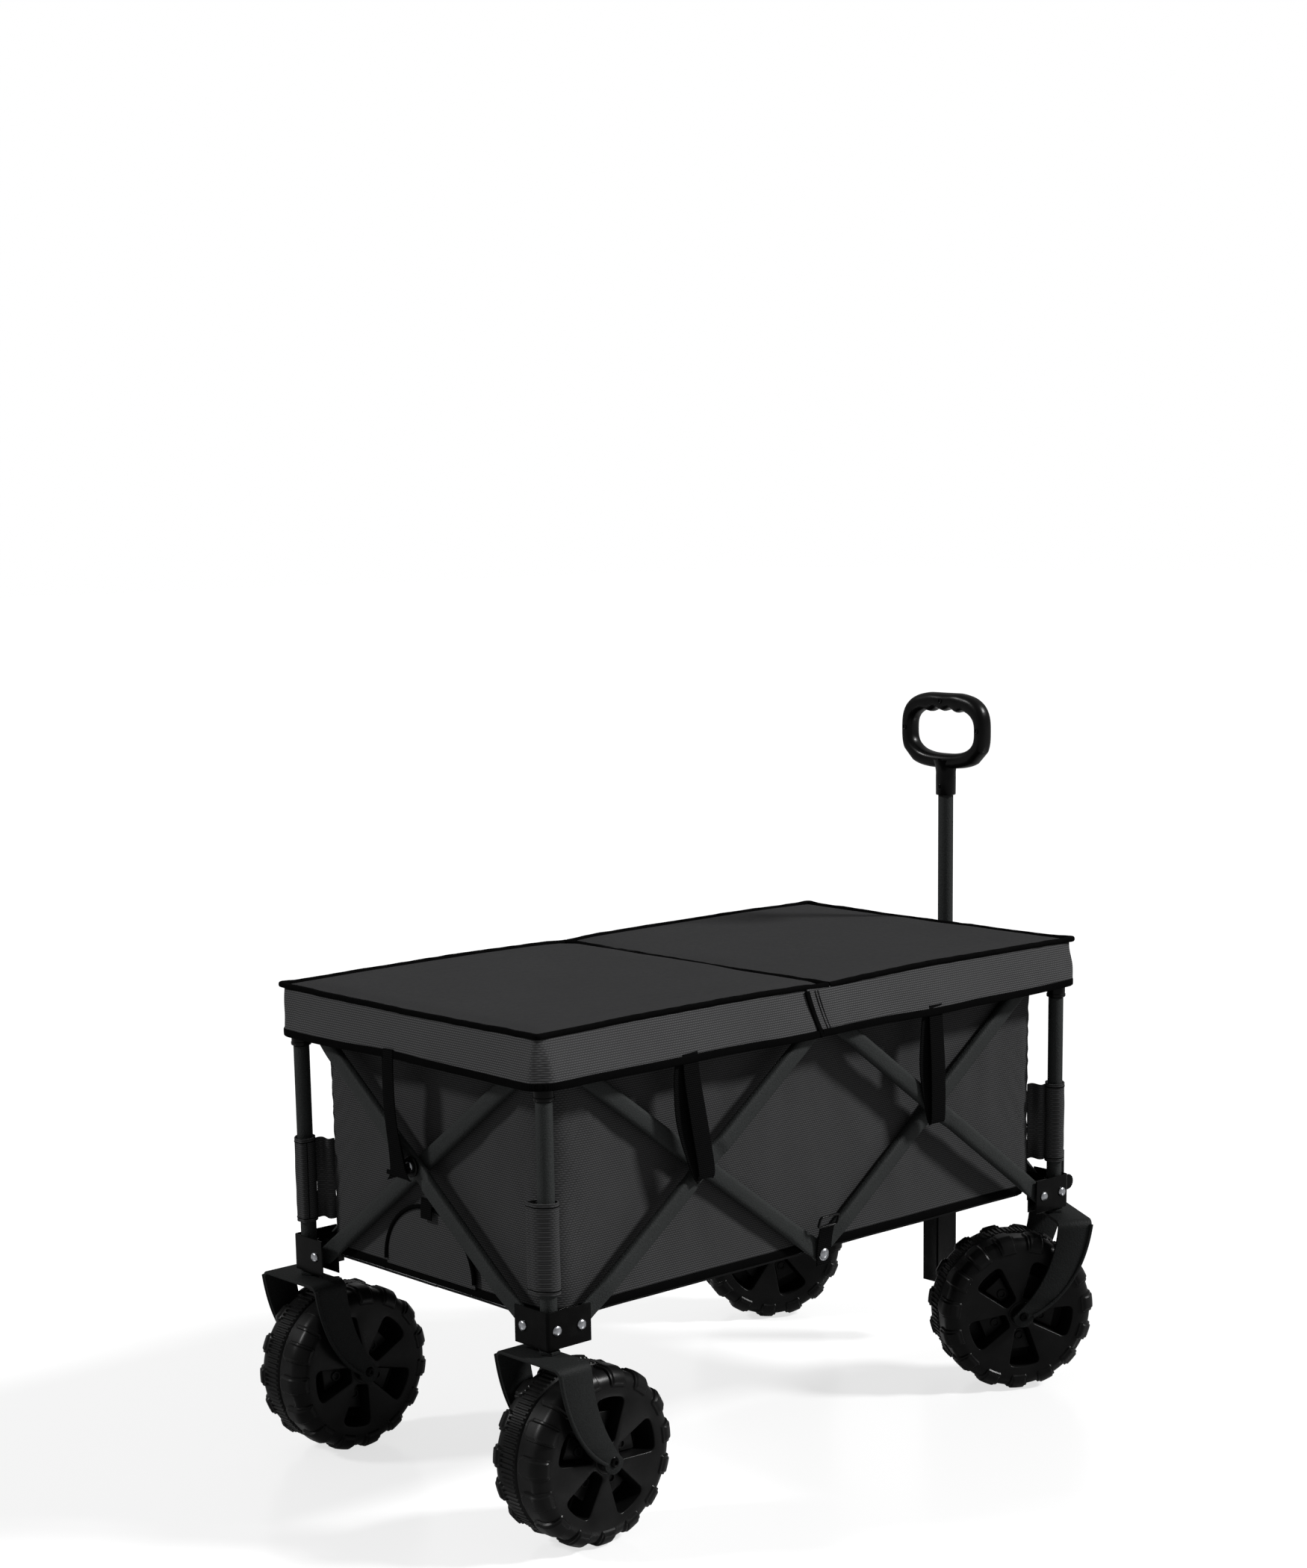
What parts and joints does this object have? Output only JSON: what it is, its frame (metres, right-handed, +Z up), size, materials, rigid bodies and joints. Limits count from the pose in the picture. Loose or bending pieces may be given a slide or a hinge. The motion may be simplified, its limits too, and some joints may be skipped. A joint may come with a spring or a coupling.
{
  "type": "folding camp wagon",
  "caption": "Folding utility wagon with a scissor-cross frame, fabric tub, fold-back lid, telescoping tilt handle and swivelling front casters.",
  "frame": {"origin": "middle of the whole wagon's box as it stands open with its lid closed, on the floor", "axes": "+X forwards to the pull handle, +Y to the wagon's left, +Z up"},
  "size_m": [0.9676, 0.623, 0.88],
  "materials": {
    "powder_coat": "matt, finely pebbled dark grey powder coat",
    "black_steel": "smooth semi-gloss black",
    "bright_steel": "bright plated",
    "wheel_plastic": "blow-moulded black plastic, satin",
    "black_plastic": "satin black moulding",
    "tub_fabric": "ribbed woven polyester, dark grey",
    "lid_fabric": "woven polyester over a stiffener, near black"
  },
  "bodies": {
    "mid_bottom_right": {"mid_bottom_rivet_right": "bright_steel"},
    "rear_right_inner": {"rear_right_inner_arm": "powder_coat"},
    "rear_right_outer": {"rear_right_outer_arm": "powder_coat"},
    "front_right_inner": {"front_right_inner_arm": "powder_coat"},
    "front_right_outer": {"front_right_outer_arm": "powder_coat"},
    "mid_top_right": {"mid_top_rivet_right": "bright_steel", "tub_right_wall": "tub_fabric"},
    "rear_right_corner": {"rear_right_post": "powder_coat", "rear_right_bracket": "black_steel", "rear_right_fork": "powder_coat", "rear_right_axle": "black_steel"},
    "rear_left_corner": {"rear_left_post": "powder_coat", "rear_left_bracket": "black_steel", "rear_left_fork": "powder_coat", "rear_left_axle": "black_steel"},
    "front_right_corner": {"front_right_post": "powder_coat", "front_right_bracket": "black_steel"},
    "front_left_corner": {"front_left_post": "powder_coat", "front_left_bracket": "black_steel"},
    "rear_right_top": {"rear_right_cap": "black_plastic", "rear_right_upper_tube": "powder_coat", "tub_rear_wall": "tub_fabric", "rear_flap": "tub_fabric"},
    "front_right_top": {"front_right_cap": "black_plastic", "front_right_upper_tube": "powder_coat", "tub_front_wall": "tub_fabric"},
    "rear_left_top": {"rear_left_cap": "black_plastic", "rear_left_upper_tube": "powder_coat"},
    "front_left_top": {"front_left_cap": "black_plastic", "front_left_upper_tube": "powder_coat"},
    "rear_end_outer": {"rear_end_outer_arm": "powder_coat"},
    "rear_end_inner": {"rear_end_inner_arm": "powder_coat"},
    "front_end_outer": {"front_end_outer_arm": "powder_coat"},
    "front_end_inner": {"front_end_inner_arm": "powder_coat"},
    "rear_left_outer": {"rear_left_outer_arm": "powder_coat"},
    "rear_left_inner": {"rear_left_inner_arm": "powder_coat"},
    "front_left_outer": {"front_left_outer_arm": "powder_coat"},
    "front_left_inner": {"front_left_inner_arm": "powder_coat"},
    "mid_top_left": {"mid_top_rivet_left": "bright_steel", "tub_left_wall": "tub_fabric"},
    "mid_bottom_left": {"mid_bottom_rivet_left": "bright_steel"},
    "floor_right": {"tub_right_floor": "tub_fabric"},
    "floor_left": {"tub_left_floor": "tub_fabric"},
    "channel": {"handle_channel": "black_steel"},
    "handle_lower": {"handle_lower_tube": "powder_coat"},
    "handle_upper": {"handle_upper_tube": "powder_coat", "handle_grip": "black_plastic"},
    "caster_fr": {"front_right_fork": "powder_coat", "front_right_axle": "black_steel"},
    "caster_fl": {"front_left_fork": "powder_coat", "front_left_axle": "black_steel"},
    "wheel_rr": {"rear_right_wheel": "wheel_plastic"},
    "wheel_rl": {"rear_left_wheel": "wheel_plastic"},
    "wheel_fr": {"front_right_wheel": "wheel_plastic"},
    "wheel_fl": {"front_left_wheel": "wheel_plastic"},
    "lid_front": {"lid_front_panel": "lid_fabric", "lid_front_skirt": "lid_fabric"},
    "lid_rear": {"lid_rear_panel": "lid_fabric", "lid_rear_skirt": "lid_fabric"}
  },
  "joints": [
    {"name": "fold", "type": "hinge", "parent": "mid_bottom_right", "child": "rear_right_inner", "pos_m": [-0.00077, -0.24542, 0.252], "axis": [0, 1, 0], "range_deg": [0, 38], "deforming": ["tub_right_wall", "tub_left_wall", "tub_front_wall", "tub_rear_wall", "tub_right_floor", "tub_left_floor", "rear_flap"]},
    {"name": "front_right_inner_pivot", "type": "hinge", "parent": "mid_bottom_right", "child": "front_right_inner", "pos_m": [-0.00077, -0.24542, 0.252], "axis": [0, -1, 0], "range_deg": [0, 38]},
    {"name": "rear_right_cross", "type": "hinge", "parent": "rear_right_inner", "child": "rear_right_outer", "pos_m": [-0.19577, -0.24542, 0.397], "axis": [0, -1, 0], "range_deg": [0, 76]},
    {"name": "front_right_cross", "type": "hinge", "parent": "front_right_inner", "child": "front_right_outer", "pos_m": [0.19423, -0.24542, 0.397], "axis": [0, 1, 0], "range_deg": [0, 76]},
    {"name": "rear_right_top_pivot", "type": "hinge", "parent": "rear_right_inner", "child": "rear_right_top", "pos_m": [-0.39077, -0.24542, 0.542], "axis": [0, -1, 0], "range_deg": [0, 38]},
    {"name": "front_right_top_pivot", "type": "hinge", "parent": "front_right_inner", "child": "front_right_top", "pos_m": [0.38923, -0.24542, 0.542], "axis": [0, 1, 0], "range_deg": [0, 38]},
    {"name": "rear_right_bottom_pivot", "type": "hinge", "parent": "rear_right_outer", "child": "rear_right_corner", "pos_m": [-0.39077, -0.24542, 0.252], "axis": [0, 1, 0], "range_deg": [0, 38]},
    {"name": "front_right_bottom_pivot", "type": "hinge", "parent": "front_right_outer", "child": "front_right_corner", "pos_m": [0.38923, -0.24542, 0.252], "axis": [0, -1, 0], "range_deg": [0, 38]},
    {"name": "mid_top_right_pivot", "type": "hinge", "parent": "rear_right_outer", "child": "mid_top_right", "pos_m": [-0.00077, -0.24542, 0.542], "axis": [0, 1, 0], "range_deg": [0, 38]},
    {"name": "rear_end_outer_pivot", "type": "hinge", "parent": "rear_right_corner", "child": "rear_end_outer", "pos_m": [-0.42577, -0.21642, 0.252], "axis": [1, 0, 0], "range_deg": [0, 38]},
    {"name": "rear_end_cross", "type": "hinge", "parent": "rear_end_outer", "child": "rear_end_inner", "pos_m": [-0.42577, -0.02142, 0.397], "axis": [-1, 0, 0], "range_deg": [0, 76]},
    {"name": "rear_left_top_pivot", "type": "hinge", "parent": "rear_end_outer", "child": "rear_left_top", "pos_m": [-0.42577, 0.17358, 0.542], "axis": [-1, 0, 0], "range_deg": [0, 38]},
    {"name": "rear_left_bottom_pivot", "type": "hinge", "parent": "rear_end_inner", "child": "rear_left_corner", "pos_m": [-0.42577, 0.17358, 0.252], "axis": [1, 0, 0], "range_deg": [0, 38]},
    {"name": "front_end_outer_pivot", "type": "hinge", "parent": "front_right_corner", "child": "front_end_outer", "pos_m": [0.42423, -0.21642, 0.252], "axis": [1, 0, 0], "range_deg": [0, 38]},
    {"name": "front_end_cross", "type": "hinge", "parent": "front_end_outer", "child": "front_end_inner", "pos_m": [0.42423, -0.02142, 0.397], "axis": [-1, 0, 0], "range_deg": [0, 76]},
    {"name": "front_left_top_pivot", "type": "hinge", "parent": "front_end_outer", "child": "front_left_top", "pos_m": [0.42423, 0.17358, 0.542], "axis": [-1, 0, 0], "range_deg": [0, 38]},
    {"name": "front_left_bottom_pivot", "type": "hinge", "parent": "front_end_inner", "child": "front_left_corner", "pos_m": [0.42423, 0.17358, 0.252], "axis": [1, 0, 0], "range_deg": [0, 38]},
    {"name": "channel_pivot", "type": "hinge", "parent": "front_end_outer", "child": "channel", "pos_m": [0.42423, -0.02142, 0.397], "axis": [-1, 0, 0], "range_deg": [0, 38]},
    {"name": "rear_left_outer_pivot", "type": "hinge", "parent": "rear_left_corner", "child": "rear_left_outer", "pos_m": [-0.39077, 0.20258, 0.252], "axis": [0, -1, 0], "range_deg": [0, 38]},
    {"name": "rear_left_cross", "type": "hinge", "parent": "rear_left_outer", "child": "rear_left_inner", "pos_m": [-0.19577, 0.20258, 0.397], "axis": [0, 1, 0], "range_deg": [0, 76]},
    {"name": "mid_top_left_pivot", "type": "hinge", "parent": "rear_left_outer", "child": "mid_top_left", "pos_m": [-0.00077, 0.20258, 0.542], "axis": [0, 1, 0], "range_deg": [0, 38]},
    {"name": "mid_bottom_left_pivot", "type": "hinge", "parent": "rear_left_inner", "child": "mid_bottom_left", "pos_m": [-0.00077, 0.20258, 0.252], "axis": [0, -1, 0], "range_deg": [0, 38]},
    {"name": "front_left_outer_pivot", "type": "hinge", "parent": "front_left_corner", "child": "front_left_outer", "pos_m": [0.38923, 0.20258, 0.252], "axis": [0, 1, 0], "range_deg": [0, 38]},
    {"name": "front_left_cross", "type": "hinge", "parent": "front_left_outer", "child": "front_left_inner", "pos_m": [0.19423, 0.20258, 0.397], "axis": [0, -1, 0], "range_deg": [0, 76]},
    {"name": "floor_right_fold", "type": "hinge", "parent": "mid_bottom_right", "child": "floor_right", "pos_m": [-0.00077, -0.22592, 0.2475], "axis": [1, 0, 0], "range_deg": [0, 79.8]},
    {"name": "floor_left_fold", "type": "hinge", "parent": "mid_bottom_left", "child": "floor_left", "pos_m": [-0.00077, 0.18308, 0.2475], "axis": [-1, 0, 0], "range_deg": [0, 79.8]},
    {"name": "caster_swivel_fr", "type": "hinge", "parent": "front_right_corner", "child": "caster_fr", "pos_m": [0.42423, -0.24542, 0.224], "axis": [0, 0, -1], "continuous": true},
    {"name": "caster_swivel_fl", "type": "hinge", "parent": "front_left_corner", "child": "caster_fl", "pos_m": [0.42423, 0.20258, 0.224], "axis": [0, 0, 1], "continuous": true},
    {"name": "wheel_spin_rr", "type": "hinge", "parent": "rear_right_corner", "child": "wheel_rr", "pos_m": [-0.38177, -0.24542, 0.102], "axis": [0, 1, 0], "continuous": true},
    {"name": "wheel_spin_rl", "type": "hinge", "parent": "rear_left_corner", "child": "wheel_rl", "pos_m": [-0.38177, 0.20258, 0.102], "axis": [0, 1, 0], "continuous": true},
    {"name": "wheel_spin_fr", "type": "hinge", "parent": "caster_fr", "child": "wheel_fr", "pos_m": [0.374, -0.21642, 0.102], "axis": [0.5, 0.866, 0], "continuous": true},
    {"name": "wheel_spin_fl", "type": "hinge", "parent": "caster_fl", "child": "wheel_fl", "pos_m": [0.374, 0.23158, 0.102], "axis": [0.5, 0.866, 0], "continuous": true},
    {"name": "handle_tilt", "type": "hinge", "parent": "channel", "child": "handle_lower", "pos_m": [0.46623, -0.02142, 0.097], "axis": [0, -1, 0], "range_deg": [-85, 0]},
    {"name": "handle_slide", "type": "slide", "parent": "handle_lower", "child": "handle_upper", "axis": [0, 0, -1], "range_m": [-0.23, 0]},
    {"name": "lid_lift", "type": "slide", "parent": "front_right_top", "child": "lid_front", "axis": [0, 0, -1], "range_m": [-0.3, 0]},
    {"name": "lid_fold", "type": "hinge", "parent": "lid_front", "child": "lid_rear", "pos_m": [-0.00077, -0.02142, 0.582], "axis": [0, -1, 0], "range_deg": [-180, 0]}
  ],
  "couplings": [
    {"joint": "front_right_inner_pivot", "follows": "fold", "ratio": 1},
    {"joint": "rear_right_cross", "follows": "fold", "ratio": 2},
    {"joint": "front_right_cross", "follows": "fold", "ratio": 2},
    {"joint": "rear_right_top_pivot", "follows": "fold", "ratio": 1},
    {"joint": "front_right_top_pivot", "follows": "fold", "ratio": 1},
    {"joint": "rear_right_bottom_pivot", "follows": "fold", "ratio": 1},
    {"joint": "front_right_bottom_pivot", "follows": "fold", "ratio": 1},
    {"joint": "mid_top_right_pivot", "follows": "fold", "ratio": 1},
    {"joint": "rear_end_outer_pivot", "follows": "fold", "ratio": 1},
    {"joint": "rear_end_cross", "follows": "fold", "ratio": 2},
    {"joint": "rear_left_top_pivot", "follows": "fold", "ratio": 1},
    {"joint": "rear_left_bottom_pivot", "follows": "fold", "ratio": 1},
    {"joint": "front_end_outer_pivot", "follows": "fold", "ratio": 1},
    {"joint": "front_end_cross", "follows": "fold", "ratio": 2},
    {"joint": "front_left_top_pivot", "follows": "fold", "ratio": 1},
    {"joint": "front_left_bottom_pivot", "follows": "fold", "ratio": 1},
    {"joint": "channel_pivot", "follows": "fold", "ratio": 1},
    {"joint": "rear_left_outer_pivot", "follows": "fold", "ratio": 1},
    {"joint": "rear_left_cross", "follows": "fold", "ratio": 2},
    {"joint": "mid_top_left_pivot", "follows": "fold", "ratio": 1},
    {"joint": "mid_bottom_left_pivot", "follows": "fold", "ratio": 1},
    {"joint": "front_left_outer_pivot", "follows": "fold", "ratio": 1},
    {"joint": "front_left_cross", "follows": "fold", "ratio": 2},
    {"joint": "floor_right_fold", "follows": "fold", "ratio": 2.1},
    {"joint": "floor_left_fold", "follows": "fold", "ratio": 2.1}
  ]
}
